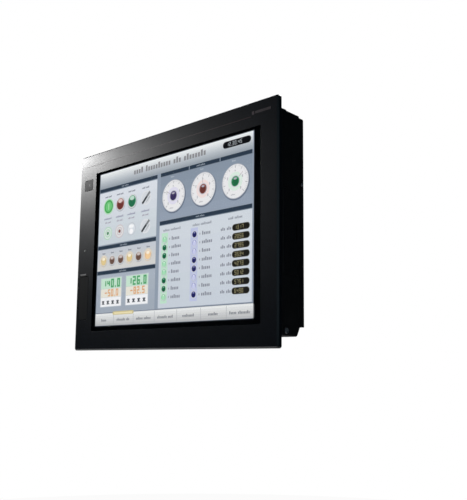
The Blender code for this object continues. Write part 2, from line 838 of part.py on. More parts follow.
def card_parts():
    socket = block("card_slot", (0.104, 0.143), (ON_BOARD, 0.0254), (-0.0305, 0.0237), "connector_black")
    cut(socket, block("card_cutter", (0.107, 0.144), CARD_Y, CARD_Z))
    button = block("card_eject_button", (0.132, 0.1472), (0.0180, 0.0224), EJECT_Z, "grey_plastic")
    round_along(button, 0, 0.0006, 2)
    turn_about(button, (0.1472, 0.0202, sum(EJECT_Z) / 2))
    switch_z = grow(ACCESS_Z, 0.0011)
    block("access_switch_body", (0.126, 0.1431), (0.0165, 0.0237), switch_z, "connector_black")
    knob_z = (ACCESS_Z[0] + 0.001, ACCESS_Z[0] + 0.005)
    knob = block("card_access_switch", (0.1434, 0.1468), (0.0186, 0.0216), knob_z, "white_plastic")
    round_face(knob, 0, 1, 0.0005, 1)
    turn_about(knob, (0.1434, 0.0201, knob_z[0]))
    lens = rod("card_access_led", 0, (0.0202, LED_Z), (0.130, 0.1460), 0.0011, "green_lens", 10)
    round_face(lens, 0, 1, 0.0004, 1)


def card_cover():
    x, y = DOOR_AXIS
    door = block("card_cover", (x - 0.001, x + 0.001), DOOR_Y, DOOR_Z, "case_moulding")
    for side in (-1, 1):
        round_face(door, 1, -1, 0.00095, 3, (0, side))
    grip = block("card_cover_grip", (CASE_HALF_WIDTH - 0.0008, 0.151), (0.0322, 0.0338), (-0.016, 0.0005))
    cut(door, grip)
    join(door, rod("card_cover_pins", 2, (x, y), grow(DOOR_Z, 0.0016), 0.0006, None, 10))
    turn_about(door, (x, y, sum(DOOR_Z) / 2))


# The back: covers, buttons, battery and label.


def extension_parts():
    for number, (x, z) in enumerate(EXTENSION_CENTRES, 1):
        socket = block(
            f"extension_connector_{number}",
            about(x, 0.060),
            (ON_BOARD, 0.040),
            about(z, 0.012),
            "connector_black",
        )
        mouth = block(f"extension_mouth_{number}", about(x, 0.054), (0.030, 0.041), about(z, 0.0052))
        cut(socket, mouth)
        lid = block(
            f"extension_cover_{number}",
            about(x, EXTENSION_SIZE[0]),
            (COVER_BACK - 0.0018, COVER_BACK),
            about(z, EXTENSION_SIZE[1]),
            "case_moulding",
        )
        for side in (-1, 1):
            leg = block(
                f"extension_leg_{number}_{side}",
                about(x, 0.010),
                (0.0405, COVER_BACK - 0.0010),
                about(z + side * (EXTENSION_SIZE[1] / 2 - 0.0012), 0.0014),
            )
            join(lid, leg)
        notch = block(
            f"extension_notch_{number}",
            about(x, 0.012),
            (COVER_BACK - 0.0009, COVER_BACK + 0.001),
            about(z - EXTENSION_SIZE[1] / 2 + 0.0030, 0.0020),
        )
        cut(lid, notch)
        turn_about(lid, (x, COVER_BACK, z))


def battery_parts():
    x, z = BATTERY_CENTRE
    holder = block(
        "battery_holder", about(x, 0.032), (ON_BOARD, 0.040), about(z, 0.028), "grey_plastic"
    )
    cut(holder, block("battery_pocket", about(x, 0.028), (0.0225, 0.041), about(z, 0.024)))
    rod("battery", 0, (0.0315, z), about(x, 0.0264), 0.0082, "battery_sleeve")
    wide, tall = BATTERY_COVER_SIZE
    lid = block("battery_cover", about(x, wide), BATTERY_COVER_Y, about(z, tall), "case_moulding")
    for side in (-1, 1):
        round_face(lid, 2, -1, 0.00095, 3, (1, side))
    axis = (BATTERY_COVER_Y[0] + 0.001, z - tall / 2 + 0.001)
    join(lid, rod("battery_cover_pins", 0, axis, about(x, wide + 0.0026), 0.0006, None, 10))
    grip = block(
        "battery_cover_grip",
        about(x, 0.014),
        (COVER_BACK - 0.0009, COVER_BACK + 0.001),
        about(z + tall / 2 - 0.0030, 0.0020),
    )
    cut(lid, grip)
    turn_about(lid, (x, *axis))


def buttons():
    for name, z in BUTTON_Z.items():
        stem = rod(name, 1, (BUTTON_X, z), (0.0206, COVER_BACK - 0.0010), BUTTON_RADIUS, "grey_plastic")
        collar = rod(name + "_collar", 1, (BUTTON_X, z), (0.0405, 0.0420), 0.0036, None)
        join(stem, collar)
        turn_about(stem, (BUTTON_X, COVER_BACK - 0.0010, z))


def rating_label():
    low, high = LABEL_BOX
    label = block(
        "rating_label",
        (low[0], high[0]),
        (COVER_BACK - 0.0003, COVER_BACK - 0.0001),
        (low[1], high[1]),
        "label_film",
    )
    round_along(label, 1, 0.002, 2)


# The connectors in the bay. Each faces down.


def serial_connector(name, x, male):
    """A nine pole D-shaped connector with its flange and two jack posts."""
    body = block(
        name, about(x, 0.0196), about(SOCKET_Y, 0.0106), (BAY_TOP - 0.0010, SOCKET_BACK), "steel"
    )
    flange = block(
        name + "_flange",
        about(x, 0.031),
        about(SOCKET_Y, 0.0126),
        (BAY_TOP - 0.0014, BAY_TOP - GAP),
    )
    shell_z = (BAY_TOP - 0.0072, BAY_TOP - 0.0010)
    shell = block(name + "_shell", about(x, 0.0170), about(SOCKET_Y, 0.0084), shell_z)
    round_along(shell, 2, 0.0020, 3)
    join(body, flange, shell)
    if male:
        mouth = block(
            name + "_mouth", about(x, 0.0162), about(SOCKET_Y, 0.0076), (BAY_TOP - 0.008, BAY_TOP - 0.0015)
        )
        round_along(mouth, 2, 0.0017, 3)
        cut(body, mouth)
    rows = ((5, 0.0014), (4, -0.0014))
    for count, across in rows:
        for step in range(count):
            place = (x + 0.00277 * (step - (count - 1) / 2), SOCKET_Y + across)
            label = f"{name}_pole_{count}_{step}"
            if male:
                pole = rod(label, 2, place, (BAY_TOP - 0.0066, BAY_TOP - 0.0010), 0.0005, None, 6)
                join(body, pole)
            else:
                pole = rod(label, 2, place, (BAY_TOP - 0.0080, BAY_TOP - 0.0040), 0.0006, None, 6)
                cut(body, pole)
    for side in (-1, 1):
        place = (x + side * 0.0125, SOCKET_Y)
        post = rod(
            f"{name}_post_{side}", 2, place, (BAY_TOP - 0.0062, BAY_TOP - 0.0010), 0.0025, None, 6
        )
        hole = rod(f"{name}_thread_{side}", 2, place, (BAY_TOP - 0.0072, BAY_TOP - 0.0022), 0.0013, None, 8)
        join(body, post)
        cut(body, hole)


def ethernet_jack():
    jack = block(
        "ethernet_jack",
        about(ETHERNET_X, 0.0160),
        about(SOCKET_Y, 0.0140),
        (BAY_TOP - 0.004, SOCKET_BACK),
        "steel",
    )
    low = BAY_TOP - 0.005
    mouth = block("jack_mouth", about(ETHERNET_X, 0.0118), (0.0228, 0.0310), (low, -0.0736))
    latch = block("jack_latch", about(ETHERNET_X, 0.0060), (0.0215, 0.0230), (low, -0.0780))
    cut(jack, mouth, latch)


def termination_switch():
    body_z = (BAY_TOP + WALL + 0.0004, SOCKET_BACK)
    block(
        "termination_switch_body",
        about(TERMINATION_X, 0.009),
        about(SOCKET_Y, 0.006),
        body_z,
        "connector_black",
    )
    knob_x = (TERMINATION_X - 0.0033, TERMINATION_X - 0.0003)
    knob = block(
        "termination_switch",
        knob_x,
        about(SOCKET_Y, 0.0024),
        (BAY_TOP - 0.0014, body_z[0] - GAP),
        "white_plastic",
    )
    round_face(knob, 2, -1, 0.0004, 1)
    turn_about(knob, (knob_x[0], SOCKET_Y, BAY_TOP))


def terminal_parts():
    body = block("terminal_block", BLOCK_X, BLOCK_Y, (BLOCK_LOW, BAY_TOP - GAP), "connector_black")
    width = (BLOCK_X[1] - BLOCK_X[0]) / TERMINALS
    middles = [BLOCK_X[0] + width * (step + 0.5) for step in range(TERMINALS)]
    recesses = [
        (about(middle, width - 0.0022), (0.027, BLOCK_Y[1] + 0.001), (BLOCK_LOW - 0.001, -0.0855))
        for middle in middles
    ]
    cut(body, blocks("terminal_recesses", recesses))
    for number, middle in enumerate(middles, 1):
        place = (middle, -0.0922)
        cut(body, rod(f"terminal_hole_{number}", 1, place, (0.0205, 0.028), 0.0016, None, 10))
        screw(f"terminal_screw_{number}", 1, place, (0.0273, 0.0297), 0.0210, 0.0029, 0.0014)
    pin_y, pin_z = FLAP_AXIS
    for side, edge in ((-1, BLOCK_X[0]), (1, BLOCK_X[1])):
        ear_x = sorted((edge + side * GAP, edge + side * 0.0024))
        ear = block(f"terminal_ear_{side}", ear_x, (0.033, 0.0384), (-0.0848, BAY_TOP - GAP))
        root_x = sorted((edge - side * 0.001, edge + side * 0.0024))
        root = block(f"terminal_ear_root_{side}", root_x, (0.031, 0.0345), (-0.0848, BAY_TOP - GAP))
        join(root, ear)
        join(body, root)
    holes = grow(BLOCK_X, 0.0018)
    cut(body, rod("terminal_pin_holes", 0, FLAP_AXIS, holes, 0.00072, None, 10))
    flap = block("terminal_cover", BLOCK_X, FLAP_Y, (BLOCK_LOW, pin_z + 0.0007), "clear_plastic")
    for side in (-1, 1):
        round_face(flap, 2, 1, 0.00066, 3, (1, side))
    join(flap, rod("terminal_cover_pins", 0, FLAP_AXIS, grow(BLOCK_X, 0.0014), 0.0006, None, 10))
    turn_about(flap, (sum(BLOCK_X) / 2, pin_y, pin_z))


def bay_parts():
    board_z = (SOCKET_BACK + GAP, SOCKET_BACK + GAP + 0.0016)
    block("interface_board", (-0.066, 0.062), (0.017, 0.040), board_z, "circuit_board")
    serial_connector("rs422_connector", RS422_X, False)
    serial_connector("rs232_connector", RS232_X, True)
    ethernet_jack()
    termination_switch()
    terminal_parts()


front_bezel()
front_small_parts()
usb_parts()
display_module()
chassis()
boards()
heatsink()
buzzer()
middle_case()
rear_cover()
case_screws()
card_parts()
card_cover()
extension_parts()
battery_parts()
buttons()
rating_label()
bay_parts()
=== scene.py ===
"""Looks of the operator touch panel: materials, display picture, fine detail, light and camera."""

import math

import bmesh
import bpy
from mathutils import Matrix, Quaternion, Vector
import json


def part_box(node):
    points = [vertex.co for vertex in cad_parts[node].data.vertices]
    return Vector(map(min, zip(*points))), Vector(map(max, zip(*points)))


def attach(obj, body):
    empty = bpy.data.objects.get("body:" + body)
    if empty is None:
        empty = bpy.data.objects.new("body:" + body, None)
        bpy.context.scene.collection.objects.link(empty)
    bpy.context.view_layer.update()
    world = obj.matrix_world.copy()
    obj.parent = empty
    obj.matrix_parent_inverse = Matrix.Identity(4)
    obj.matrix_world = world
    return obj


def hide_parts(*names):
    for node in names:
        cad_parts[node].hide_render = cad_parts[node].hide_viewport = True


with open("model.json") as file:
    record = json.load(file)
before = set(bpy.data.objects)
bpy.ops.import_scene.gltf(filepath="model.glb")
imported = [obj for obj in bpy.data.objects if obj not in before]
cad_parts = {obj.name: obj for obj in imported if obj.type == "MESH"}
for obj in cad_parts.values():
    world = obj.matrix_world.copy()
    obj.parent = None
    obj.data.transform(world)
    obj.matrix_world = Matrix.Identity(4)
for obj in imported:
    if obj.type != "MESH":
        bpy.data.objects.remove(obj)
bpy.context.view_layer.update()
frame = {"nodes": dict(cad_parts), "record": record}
HOUSING = "housing"
BODY_OF = {}
for body_name, body_nodes in frame["record"]["behaviour"]["bodies"].items():
    for node_name in body_nodes:
        BODY_OF[node_name] = body_name


# Small helpers.


def linear(red, green, blue):
    """A display colour, given as 0 to 255, in the linear units that shaders take."""
    made = []
    for value in (red, green, blue):
        value = value / 255
        made.append(value / 12.92 if value <= 0.04045 else ((value + 0.055) / 1.055) ** 2.4)
    return (*made, 1.0)


def about(centre, size):
    """A span of the given size, centred on a place."""
    return (centre - size / 2, centre + size / 2)


def grow(span, by):
    """A span made longer at both ends."""
    return (span[0] - by, span[1] + by)


def spans(node):
    """A CAD node's extent along x, y and z."""
    low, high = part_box(node)
    return [(low[axis], high[axis]) for axis in range(3)]


def middle(span):
    return (span[0] + span[1]) / 2


def placed(name, bm):
    """A new object made of bm, linked to the scene."""
    mesh = bpy.data.meshes.new(name)
    bm.to_mesh(mesh)
    bm.free()
    made = bpy.data.objects.new(name, mesh)
    bpy.context.scene.collection.objects.link(made)
    return made


# Materials.


class Look:
    """A node material under construction, around one Principled shader."""

    def __init__(self, name, colour, roughness, metallic=0.0):
        self.material = bpy.data.materials.new(name)
        self.material.use_nodes = True
        self.tree = self.material.node_tree
        self.shader = self.tree.nodes["Principled BSDF"]
        self.set("Base Color", (*colour, 1.0))
        self.set("Roughness", roughness)
        self.set("Metallic", metallic)
        self.colour, self.roughness = colour, roughness
        self.place = self.add("ShaderNodeTexCoord").outputs["Object"]

    def add(self, kind, **inputs):
        """A new node, with values for some of its inputs."""
        node = self.tree.nodes.new(kind)
        for name, value in inputs.items():
            node.inputs[name].default_value = value
        return node

    def link(self, output, node, name):
        self.tree.links.new(output, node.inputs[name])

    def set(self, name, value):
        self.shader.inputs[name].default_value = value

    def stretched(self, scale):
        """Object coordinates with a scale for each axis."""
        node = self.add("ShaderNodeMapping")
        node.inputs["Scale"].default_value = scale
        self.link(self.place, node, "Vector")
        return node.outputs["Vector"]

    def noise(self, scale, detail, vector=None):
        node = self.add("ShaderNodeTexNoise", Scale=scale, Detail=detail)
        self.link(vector or self.place, node, "Vector")
        return node.outputs["Fac"]

    def ramp(self, factor, stops):
        """A colour ramp, from pairs of a position and a colour."""
        node = self.add("ShaderNodeValToRGB")
        points = node.color_ramp.elements
        while len(points) < len(stops):
            points.new(0.5)
        for point, (position, colour) in zip(points, stops):
            point.position = position
            point.color = (*colour, 1.0)
        self.link(factor, node, "Fac")
        return node.outputs["Color"]

    def spread(self, factor, low, high, start=0.3, end=0.7):
        """factor from start to end, carried over to low to high."""
        node = self.add("ShaderNodeMapRange")
        ends = (("From Min", start), ("From Max", end), ("To Min", low), ("To Max", high))
        for name, value in ends:
            node.inputs[name].default_value = value
        self.link(factor, node, "Value")
        return node.outputs["Result"]

    def vary(self, scale, by):
        """Cloudy variation of the base colour, by a share of it."""
        dark = tuple(channel * (1 - by) for channel in self.colour)
        light = tuple(min(1.0, channel * (1 + by)) for channel in self.colour)
        clouds = self.ramp(self.noise(scale, 3.0), [(0.3, dark), (0.7, light)])
        self.link(clouds, self.shader, "Base Color")
        return self

    def rough(self, scale, by, vector=None):
        """Uneven roughness, up to by more or less than its value."""
        wear = self.noise(scale, 4.0, vector)
        low, high = max(0.02, self.roughness - by), min(1.0, self.roughness + by)
        self.link(self.spread(wear, low, high), self.shader, "Roughness")
        return self

    def bump(self, height, strength, distance):
        node = self.add("ShaderNodeBump", Strength=strength, Distance=distance)
        self.link(height, node, "Height")
        self.link(node.outputs["Normal"], self.shader, "Normal")
        return self


def moulded(name, colour, roughness, grain=2600, depth=0.25, wear=0.03, gloss=0.5):
    """Plastic with a fine moulded grain."""
    look = Look(name, colour, roughness).vary(45, 0.12).rough(30, wear)
    look.set("Specular IOR Level", gloss)
    return look.bump(look.noise(grain, 2.0), depth, 0.00001).material


def plated(name, colour, roughness, along=(40, 900, 40)):
    """Metal with fine lines from rolling or drawing."""
    look = Look(name, colour, roughness, 1.0)
    lines = look.stretched(along)
    look.rough(1.0, 0.12, lines)
    look.vary(120, 0.08)
    return look.bump(look.noise(1.0, 2.0, lines), 0.15, 0.00002).material


def board_material():
    """Green solder resist over copper tracks, with pale pads."""
    look = Look("solder_resist", (0.012, 0.115, 0.045), 0.32)
    grid = look.add("ShaderNodeTexBrick", Scale=120.0)
    grid.inputs["Color1"].default_value = (0.010, 0.100, 0.040, 1)
    grid.inputs["Color2"].default_value = (0.014, 0.140, 0.055, 1)
    grid.inputs["Mortar"].default_value = (0.030, 0.230, 0.095, 1)
    grid.inputs["Mortar Size"].default_value = 0.035
    flat = look.add("ShaderNodeMapping")
    flat.inputs["Rotation"].default_value = (math.pi / 2, 0, 0)
    look.link(look.place, flat, "Vector")
    look.link(flat.outputs["Vector"], grid, "Vector")
    pads = look.add("ShaderNodeTexVoronoi", Scale=420.0)
    look.link(look.place, pads, "Vector")
    spot = look.spread(pads.outputs["Distance"], 1.0, 0.0, 0.10, 0.16)
    join = look.add("ShaderNodeMix")
    join.data_type = "RGBA"
    look.link(spot, join, "Factor")
    look.link(grid.outputs["Color"], join, "A")
    join.inputs["B"].default_value = (0.45, 0.43, 0.36, 1)
    look.link(join.outputs["Result"], look.shader, "Base Color")
    look.rough(60, 0.08)
    return look.bump(grid.outputs["Fac"], 0.2, 0.00003).material


def glassy(name, tint, haze, bend):
    """A clear sheet with a faint haze that varies over it."""
    look = Look(name, tint, haze)
    look.set("Transmission Weight", 1.0)
    look.set("IOR", bend)
    return look.rough(12, haze * 0.3).material


def lit(name, colour):
    """A part of the display's picture, which gives its own light."""
    look = Look(name, (0.0, 0.0, 0.0), 0.6)
    look.set("Emission Color", colour)
    look.set("Emission Strength", 1.0)
    look.set("Specular IOR Level", 0.1)
    return look.material


BEZEL_LOOK = moulded("bezel_moulding", (0.0016, 0.0032, 0.0066), 0.248, 2400, 0.06, 0.004)
CASE_LOOK = moulded("case_moulding_fine", (0.0040, 0.0038, 0.0048), 0.50, 1500, 0.4, 0.03, 0.35)
COVER_LOOK = moulded("cover_moulding_fine", (0.0048, 0.0046, 0.0056), 0.46, 1900, 0.3, 0.03, 0.35)
RUBBER = moulded("soft_rubber", (0.010, 0.010, 0.011), 0.62, 900, 0.3)
GREY = moulded("grey_moulding", (0.20, 0.205, 0.215), 0.45, 1500, 0.3)
WHITE = moulded("white_moulding", (0.72, 0.72, 0.69), 0.45, 1500, 0.25)
COVER_RUBBER = moulded("cover_rubber", (0.0022, 0.0032, 0.0042), 0.62, 900, 0.08, 0.01, 0.04)
BLACK = moulded("connector_moulding", (0.013, 0.013, 0.014), 0.42, 1800, 0.35)
BORDER = moulded("border_print", (0.0008, 0.0016, 0.0034), 0.75, 1800, 0.05, 0.03, 0.08)
# Painted highlight: a grey bar standing for light caught on the top edge of the USB cover.
PAINTED_LIP_HIGHLIGHT = moulded("painted_lip_highlight", (0.080, 0.082, 0.086), 0.5, 1800, 0.05)
# Painted shadow: a near-black bar standing for the shade in the gap at the top of the USB cover.
PAINTED_GAP_SHADOW = moulded("painted_gap_shadow", (0.0020, 0.0022, 0.0030), 0.6, 1800, 0.05, 0.03, 0.1)
LINE_PRINT = moulded("line_print", (0.024, 0.005, 0.009), 0.34, 1800, 0.03, 0.01, 0.26)
MARK_PRINT = moulded("mark_print", (0.030, 0.019, 0.025), 0.34, 1800, 0.03)
SYMBOL_PRINT = moulded("symbol_print", (0.036, 0.018, 0.028), 0.34, 1800, 0.03)
LABEL = moulded("label_face", (0.55, 0.56, 0.57), 0.38, 900, 0.03, 0.06)
LABEL_INK = moulded("label_ink", (0.10, 0.10, 0.11), 0.5, 1800, 0.05)
TERMINAL_GREY = moulded("terminal_moulding", (0.045, 0.047, 0.050), 0.5, 1800, 0.3)
STEEL = plated("zinc_plate", (0.58, 0.58, 0.60), 0.34)
TINNED = plated("tinned_shell", (0.70, 0.70, 0.69), 0.26, (700, 60, 60))
GOLD = plated("gold_flash", (0.85, 0.60, 0.25), 0.25, (900, 60, 60))
ALUMINIUM = plated("extruded_aluminium", (0.72, 0.72, 0.74), 0.36, (900, 30, 30))
SMOKED = moulded("smoked_window", (0.005, 0.006, 0.009), 0.27, 2400, 0.02, 0.01, 0.07)
SMOKED_EYE = moulded("smoked_eye", (0.008, 0.009, 0.012), 0.27, 2400, 0.02, 0.01, 0.16)
LAMP = Look("lamp_lens", (0.075, 0.085, 0.080), 0.3).vary(90, 0.1).rough(50, 0.04).material
BATTERY_FILM = moulded("battery_film", (0.03, 0.10, 0.42), 0.3, 900, 0.03, 0.05)
GREEN_LENS = moulded("access_lens", (0.03, 0.5, 0.12), 0.2, 900, 0.03)
BOARD = board_material()
FILM = glassy("touch_film", (0.99, 0.99, 0.99), 0.02, 1.20)
CLEAR = glassy("clear_cover", (0.86, 0.88, 0.90), 0.10, 1.45)


# Pieces.


SHELL_ROUND = 0.0003
BEZEL_ROUND = 0.00025
PART_ROUND = 0.0002
SMALL_ROUND = 0.00015
METAL_ROUND = 0.00012
FINE_ROUND = 0.0001
BATTERY_ROUND = 0.0006
SMOOTH_BELOW = math.radians(40)
ROUND_ABOVE = math.radians(25)
FLAT_WITHIN = math.radians(0.5)
SAME_PLACE = 0.000002


def piece(name, bm, material, body=HOUSING):
    """A piece that rides on a body, with flat faces kept flat beside its rounded edges."""
    made = placed(name, bm)
    made.data.materials.append(material)
    made.data.shade_smooth()
    made.data.set_sharp_from_angle(angle=SMOOTH_BELOW)
    flat = made.modifiers.new("flat_faces", "WEIGHTED_NORMAL")
    flat.keep_sharp = True
    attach(made, body)
    return made


def soften(bm, width, steps=2):
    """Rounds every edge whose faces meet at more than ROUND_ABOVE."""
    inner = [edge for edge in bm.edges if len(edge.link_faces) == 2]
    sharp = [edge for edge in inner if edge.calc_face_angle(0.0) > ROUND_ABOVE]
    bmesh.ops.bevel(
        bm,
        geom=sharp,
        offset=width,
        segments=steps,
        profile=0.5,
        affect="EDGES",
        clamp_overlap=True,
        harden_normals=False,
    )


def refined(node, width, material, steps=2):
    """A copy of a CAD node with its edges rounded, in place of the plain one."""
    source = frame["nodes"][node]
    bm = bmesh.new()
    bm.from_mesh(source.data)
    bmesh.ops.remove_doubles(bm, verts=bm.verts, dist=SAME_PLACE)
    bmesh.ops.dissolve_limit(
        bm,
        angle_limit=FLAT_WITHIN,
        verts=bm.verts,
        edges=bm.edges,
        use_dissolve_boundaries=False,
    )
    bmesh.ops.recalc_face_normals(bm, faces=bm.faces)
    if width > 0:
        soften(bm, width, steps)
    made = piece(node + "_fine", bm, material, BODY_OF[node])
    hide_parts(node)
    return made


def add_box(bm, x, y, z):
    """A box over three spans."""
    size = Matrix.Diagonal((x[1] - x[0], y[1] - y[0], z[1] - z[0], 1.0))
    place = Matrix.Translation((middle(x), middle(y), middle(z)))
    bmesh.ops.create_cube(bm, size=1.0, matrix=place @ size)


def boxes(name, places, material):
    """One piece made of several thin boxes, such as prints and wires."""
    bm = bmesh.new()
    for place in places:
        add_box(bm, *place)
    return piece(name, bm, material)


def print_layer(face):
    """The depth of a print that lies on a face at y = face."""
    return (face - 0.00002, face + 0.00004)


def paint(node, material):
    """A new material for a CAD node that stays as it is."""
    slots = frame["nodes"][node].data.materials
    slots.clear()
    slots.append(material)


# The display's picture, drawn in steps from its top left corner.

ACTIVE = (0.2490, 0.18675)
GRID = (800, 600)
STEP = ACTIVE[0] / GRID[0]
LAYER_PITCH = 0.000012
LAYER_THICK = 0.96
view_x, view_y, view_z = spans("lcd_glass")
PICTURE_CENTRE = (middle(view_x), middle(view_z))
PICTURE_Y = view_y[0] - 0.00002
PICTURE_LOOKS = {}

# Where the fields of the picture lie, and the number of blocks on each tab.

LEFT = (6, 342)
RIGHT = (360, 790)
TAB = 114
TAB_TALL = 10
TABS = ((5,), (8, 3), (6, 6), (8, 4), (9,), (7,), (5, 8))
DIAL_TICKS = 40
POINTERS = (-150, -95, -40)

SLATE = (146, 158, 174)
NAVY = (44, 58, 74)
INK = (92, 100, 116)
INK_LIGHT = (134, 138, 150)
PALE = (224, 230, 230)

# Sizes of a line of blocks, as shares of its height, and the strokes of each figure.

BLOCK_WIDE = 0.42
BLOCK_LOW = 0.7
BLOCK_PITCH = 0.62
WORD_GAP = 0.55
FIGURE_WIDE = 0.52
FIGURE_PITCH = 0.70
PILL_STEPS = 8
SEGMENTS = {
    "0": "abcdef",
    "1": "bc",
    "2": "abged",
    "3": "abgcd",
    "4": "fgbc",
    "5": "afgcd",
    "6": "afgedc",
    "7": "abc",
    "8": "abcdefg",
    "9": "abcdfg",
    "-": "g",
}


class Picture:
    """Flat shapes of one part of the picture, each on a numbered layer, 0 at the back."""

    def __init__(self, name):
        self.name = name
        self.bm = bmesh.new()
        self.colours = []

    def shape(self, points, colour, layer):
        """A thin plate with a rim of points, each steps across and steps down."""
        if colour not in self.colours:
            self.colours.append(colour)
        back = PICTURE_Y - layer * LAYER_PITCH
        rims = []
        for depth in (back - LAYER_PITCH * LAYER_THICK, back):
            rim = []
            for across, down in points:
                x = PICTURE_CENTRE[0] + (across - GRID[0] / 2) * STEP
                z = PICTURE_CENTRE[1] + (GRID[1] / 2 - down) * STEP
                rim.append(self.bm.verts.new((x, depth, z)))
            rims.append(rim)
        front, rear = rims
        faces = [self.bm.faces.new(front), self.bm.faces.new(rear[::-1])]
        for i in range(len(points)):
            j = (i + 1) % len(points)
            faces.append(self.bm.faces.new((front[j], front[i], rear[i], rear[j])))
        for face in faces:
            face.material_index = self.colours.index(colour)

    def rect(self, x0, y0, x1, y1, colour, layer):
        self.shape([(x0, y0), (x0, y1), (x1, y1), (x1, y0)], colour, layer)

    def disc(self, x, y, radius, colour, layer, squash=1.0, sides=28):
        """A round, or an oval where its height is squashed."""
        rim = []
        for i in range(sides):
            turn = 2 * math.pi * i / sides
            rim.append((x - radius * math.sin(turn), y - squash * radius * math.cos(turn)))
        self.shape(rim, colour, layer)

    def pill(self, x0, y0, x1, y1, colour, layer=2):
        """A rectangle with half-round ends."""
        radius, rim = (y1 - y0) / 2, []
        for end, start in ((x0 + radius, 0.0), (x1 - radius, math.pi)):
            for i in range(PILL_STEPS + 1):
                turn = start + math.pi * i / PILL_STEPS
                down = (y0 + y1) / 2 - radius * math.cos(turn)
                rim.append((end - radius * math.sin(turn), down))
        self.shape(rim, colour, layer)

    def shade(self, x0, y0, x1, y1, top, bottom, bands):
        """A rectangle that fades from one colour to another downwards."""
        for i in range(bands):
            share = (i + 0.5) / bands
            colour = tuple(round(a + (b - a) * share) for a, b in zip(top, bottom))
            high = y0 + (y1 - y0) * i / bands
            self.rect(x0, high, x1, high + (y1 - y0) / bands, colour, 1)

    def bar(self, x0, y0, x1, y1, width, colour, layer):
        """A straight stroke between two points."""
        along = Vector((x1 - x0, y1 - y0)).normalized() * width / 2
        side = Vector((-along.y, along.x))
        corners = (
            (x0 - side.x, y0 - side.y),
            (x1 - side.x, y1 - side.y),
            (x1 + side.x, y1 + side.y),
            (x0 + side.x, y0 + side.y),
        )
        self.shape(corners, colour, layer)

    def words(self, x, y, height, lengths, colour, layer=3):
        """A line of plain blocks where the screen has writing: no letters."""
        for length in lengths:
            for number in range(length):
                tall = height * (1.0 if (number * 7 + length) % 5 == 0 else BLOCK_LOW)
                right, low = x + height * BLOCK_WIDE, y + height
                self.rect(x, low - tall, right, low, colour, layer)
                x += height * BLOCK_PITCH
            x += height * WORD_GAP

    def number(self, x, y, height, text, colour, layer=3, weight=0.16):
        """Plain seven-segment figures, with strokes as wide as weight times their height."""
        wide, thick = height * FIGURE_WIDE, height * weight
        middle_y = y + (height - thick) / 2
        places = {
            "a": (x, y, wide, thick),
            "g": (x, middle_y, wide, thick),
            "d": (x, y + height - thick, wide, thick),
            "f": (x, y + thick, thick, middle_y - y),
            "b": (x + wide - thick, y + thick, thick, middle_y - y),
            "e": (x, middle_y + thick, thick, middle_y - y - thick),
            "c": (x + wide - thick, middle_y + thick, thick, middle_y - y - thick),
        }
        for sign in text:
            if sign == ".":
                self.rect(x, y + height - thick, x + thick, y + height, colour, layer)
                x += thick * 2
                continue
            shift = x - places["a"][0]
            for segment in SEGMENTS[sign]:
                left, high, w, h = places[segment]
                self.rect(left + shift, high, left + shift + w, high + h, colour, layer)
            x += height * FIGURE_PITCH

    def lamp(self, x, y, radius, body, dark, shine, gleam=0.50):
        """A domed lamp with a rim, a darker lower half and a highlight."""
        self.disc(x + 0.6, y + 1.2, radius * 1.06, (150, 158, 168), 2)
        self.disc(x, y, radius, (222, 224, 226), 3)
        self.disc(x, y, radius * 0.86, body, 4)
        self.disc(x, y + radius * 0.14, radius * 0.66, dark, 5)
        self.disc(x, y - radius * 0.46, radius * gleam, shine, 6, 0.62)

    def done(self):
        """The finished drawing, as one piece with a material for each colour."""
        made = placed(self.name, self.bm)
        for colour in self.colours:
            made.data.materials.append(picture_look(colour))
        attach(made, HOUSING)
        return made


def picture_look(colour):
    """The one material of a colour in the picture."""
    if colour not in PICTURE_LOOKS:
        name = "picture_" + "_".join(str(value) for value in colour)
        PICTURE_LOOKS[colour] = lit(name, linear(*colour))
    return PICTURE_LOOKS[colour]


def header(picture, x0, x1, y, gaps=()):
    """A dark strip with a lighter lower edge, and plain blocks for its writing."""
    picture.rect(x0, y, x1, y + 13, NAVY, 2)
    picture.rect(x0, y + 13, x1, y + 15, (104, 118, 134), 2)
    picture.words((x0 + x1) / 2 - 34, y + 3.5, 6, (4, 6), (150, 160, 172), 3)
    for gap in gaps:
        picture.rect(gap - 1.5, y, gap + 1.5, y + 13, SLATE, 3)


def draw_ground():
    """The ground of every field, and the dark strips over them."""
    ground = Picture("display_ground")
    ground.rect(4, 2, 796, 597, SLATE, 0)
    ground.shade(6, 3, 793, 62, (240, 243, 244), (150, 160, 170), 12)
    ground.shade(LEFT[0], 80, LEFT[1], 286, (222, 226, 234), (200, 210, 217), 6)
    ground.shade(LEFT[0], 304, LEFT[1], 386, (196, 202, 212), (214, 213, 210), 5)
    ground.shade(LEFT[0], 402, LEFT[1], 548, (172, 182, 194), (160, 170, 184), 4)
    ground.shade(RIGHT[0], 78, RIGHT[1], 236, (134, 148, 164), (150, 161, 178), 5)
    ground.shade(RIGHT[0], 254, RIGHT[1], 546, (210, 217, 225), (200, 208, 218), 5)
    ground.shade(4, 551, 796, 596, (236, 238, 238), (182, 184, 186), 6)
    ground.rect(4, 548, 796, 551, (118, 128, 142), 1)
    for x0, x1, y in ((*LEFT, 63), (*LEFT, 290), (*LEFT, 388), (*RIGHT, 238)):
        header(ground, x0, x1, y)
    header(ground, *RIGHT, 62, (505, 650))
    ground.rect(372, 282, 405, 530, (190, 226, 203), 2)
    ground.rect(518, 282, 552, 530, (190, 197, 226), 2)
    return ground.done()


